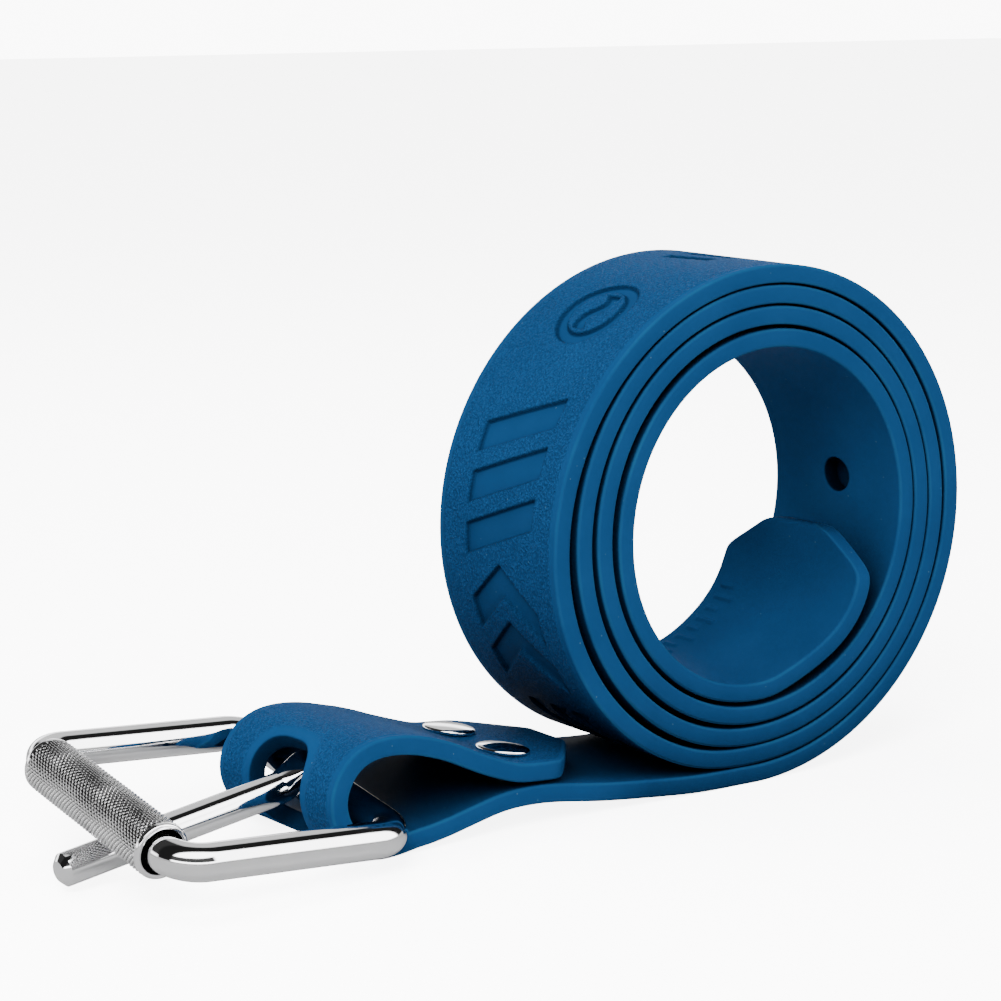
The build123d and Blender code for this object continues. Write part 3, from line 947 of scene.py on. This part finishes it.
# ------------------------------------------------------------------ floor
def make_floor_paper():
    """Pale paper: blown out to the camera, a plain grey to every other ray."""
    material = bpy.data.materials.new("floor_paper")
    nodes = Nodes(material)
    nodes.tree.nodes.clear()
    rays = nodes.add("LightPath").outputs
    bounced = nodes.mix_colour(rays["Is Glossy Ray"], grey(0.58), grey(0.80))
    colour = nodes.mix_colour(rays["Is Camera Ray"], bounced, grey(4.2))
    diffuse = nodes.add("BsdfDiffuse", {"Color": colour}).outputs[0]
    glow = nodes.math("MULTIPLY", rays["Is Camera Ray"], 6.0)
    emission = nodes.add("Emission", {"Color": grey(1), "Strength": glow}).outputs[0]
    both = nodes.add("AddShader", {0: diffuse, 1: emission}).outputs[0]
    nodes.add("OutputMaterial", {"Surface": both})
    return material


FLOOR_HALF = 6000.0
floor_corners = FLOOR_HALF * np.array([(-1, -1, 0), (1, -1, 0), (1, 1, 0), (-1, 1, 0)], float)
studio_floor = mesh_object("studio_floor", floor_corners, [[0, 1, 2, 3]], solid=False)
dress(studio_floor, make_floor_paper())


# ------------------------------------------------------------------ world
def make_world():
    """White to the camera, dim to diffuse rays, and a small studio to polished metal."""
    world = bpy.data.worlds.new("studio")
    bpy.context.scene.world = world
    nodes = Nodes(world)
    x, y, z = nodes.separate(nodes.add("TexCoord").outputs["Generated"])

    def ease(value, start, end):
        """Smooth step from 0 at start to 1 at end."""
        ends = (start, end, 0.0, 1.0) if start < end else (end, start, 1.0, 0.0)
        return nodes.remap(value, *ends, interpolation_type="SMOOTHSTEP")

    def product(first, second):
        return nodes.math("MULTIPLY", first, second)

    def weighted(mask, weight, base):
        return nodes.math("MULTIPLY_ADD", mask, weight, base)

    # a grey wall behind, brighter low down, with a dark flag over its upper left
    wall = ease(y, 0.20, 0.34)
    flag = product(ease(z, 0.26, 0.36), ease(x, 0.30, 0.12))
    wall = product(wall, weighted(flag, -0.97, 1.0))
    wall = product(wall, weighted(ease(z, 0.34, 0.22), 3.5, 1.1))
    # a bright softbox in front, with a black card across all but its right end
    softbox = ease(y, -0.24, -0.36)
    card = product(ease(x, 0.50, 0.38), product(ease(z, 0.20, 0.27), ease(z, 0.66, 0.56)))
    softbox = product(softbox, weighted(card, -0.99, 1.0))
    studio = nodes.math("ADD", weighted(softbox, 9.0, wall), 0.02)
    # an even glow at and below the horizon
    studio = nodes.mix(ease(z, 0.16, 0.07), studio, 0.9)

    rays = nodes.add("LightPath").outputs
    seen = nodes.mix(rays["Is Glossy Ray"], 0.22, studio)
    strength = nodes.mix(rays["Is Camera Ray"], seen, 10.0)
    nodes.feed(nodes.tree.nodes["Background"], {"Color": grey(1), "Strength": strength})


make_world()


# ------------------------------------------------------------------ lights
def add_area_light(name, location, target, size, power):
    """Rectangular light aimed at target, unseen in reflections; metres and watts."""
    light = bpy.data.lights.new(name, "AREA")
    light.shape = "RECTANGLE"
    light.size, light.size_y = size
    light.energy = power
    lamp = bpy.data.objects.new(name, light)
    bpy.context.scene.collection.objects.link(lamp)
    lamp.location = location
    aim = Vector(target) - Vector(location)
    lamp.rotation_euler = aim.to_track_quat("-Z", "Y").to_euler()
    lamp.visible_glossy = False


add_area_light("key_soft", location=(-0.85, -0.75, 0.95), target=(-0.02, 0, 0.05),
               size=(0.75, 0.75), power=18.0)
add_area_light("fill_soft", location=(0.75, -0.9, 0.45), target=(0, 0, 0.05),
               size=(0.9, 0.6), power=3.0)
add_area_light("top_soft", location=(-0.15, 0.35, 1.1), target=(0, 0, 0.0),
               size=(0.9, 0.7), power=5.5)

# ------------------------------------------------------------------ camera
CAMERA_LOCATION = Vector((-0.44256, -0.55133, 0.19468))
CAMERA_RIGHT = Vector((0.81932, -0.573322, -0.004121))
CAMERA_DOWN = Vector((-0.105338, -0.143463, -0.984034))
CAMERA_FORWARD = Vector((0.563577, 0.806672, -0.177934))

lens = bpy.data.cameras.new("photo_view")
lens.lens = 104.2957043
lens.sensor_width = 36.0
lens.clip_start = 0.02
camera = bpy.data.objects.new("photo_view", lens)
bpy.context.scene.collection.objects.link(camera)
pose = Matrix((CAMERA_RIGHT, -CAMERA_DOWN, -CAMERA_FORWARD)).transposed().to_4x4()
pose.translation = CAMERA_LOCATION
camera.matrix_world = pose
bpy.context.scene.camera = camera
